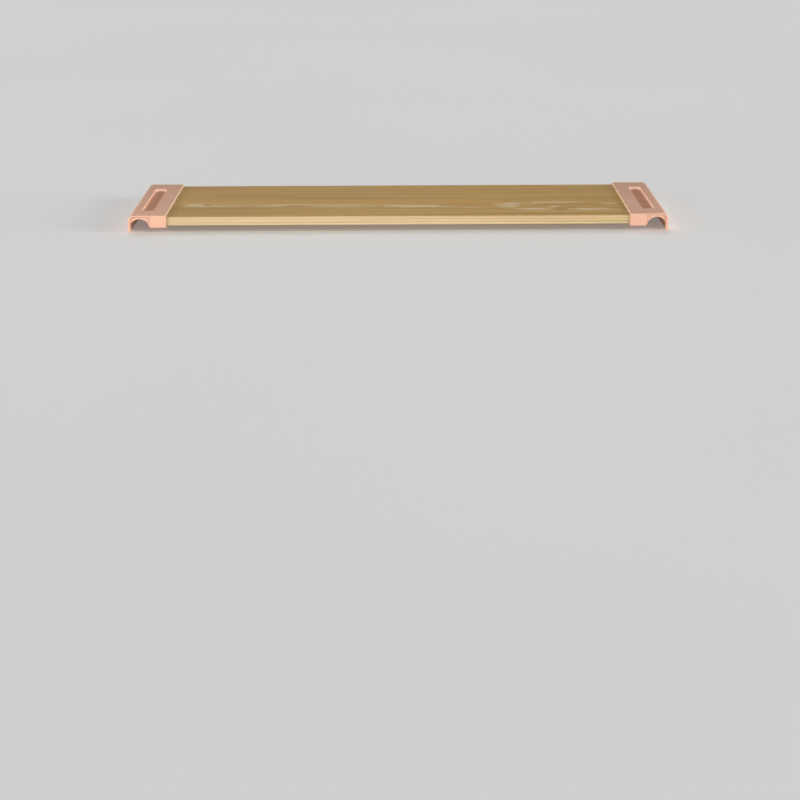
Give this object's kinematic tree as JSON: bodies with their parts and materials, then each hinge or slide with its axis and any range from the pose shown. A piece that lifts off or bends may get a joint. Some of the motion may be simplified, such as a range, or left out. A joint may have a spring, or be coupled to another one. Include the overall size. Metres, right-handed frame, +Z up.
{
  "type": "overbed table",
  "caption": "Board that bridges a hospital bed's side rails, with a moulded end cap at each end that drops over a round rail.",
  "frame": {"origin": "under the middle of the board, level with the lower edges of the end caps' lips", "axes": "+X from the left rail to the right one, +Y from the front edge to the rear one, +Z up"},
  "size_m": [0.981, 0.3, 0.032],
  "materials": {
    "cap_plastic": "pale pink moulded plastic, satin, with a fine even texture",
    "wood_laminate": "light brown wood-grain laminate, satin, grain along the board",
    "edge_band": "pale wood-grain edge band with fine lengthwise stripes, satin",
    "chipboard": "raw chipboard, hidden between the laminates",
    "screw_steel": "zinc-plated steel"
  },
  "bodies": {
    "root": {"board_core": "chipboard", "top_laminate": "wood_laminate", "bottom_laminate": "wood_laminate", "front_edge_band": "edge_band", "rear_edge_band": "edge_band", "left_end_cap": "cap_plastic", "right_end_cap": "cap_plastic", "left_screw_1": "screw_steel", "left_screw_2": "screw_steel", "left_screw_3": "screw_steel", "left_screw_4": "screw_steel", "right_screw_1": "screw_steel", "right_screw_2": "screw_steel", "right_screw_3": "screw_steel", "right_screw_4": "screw_steel"}
  },
  "joints": []
}
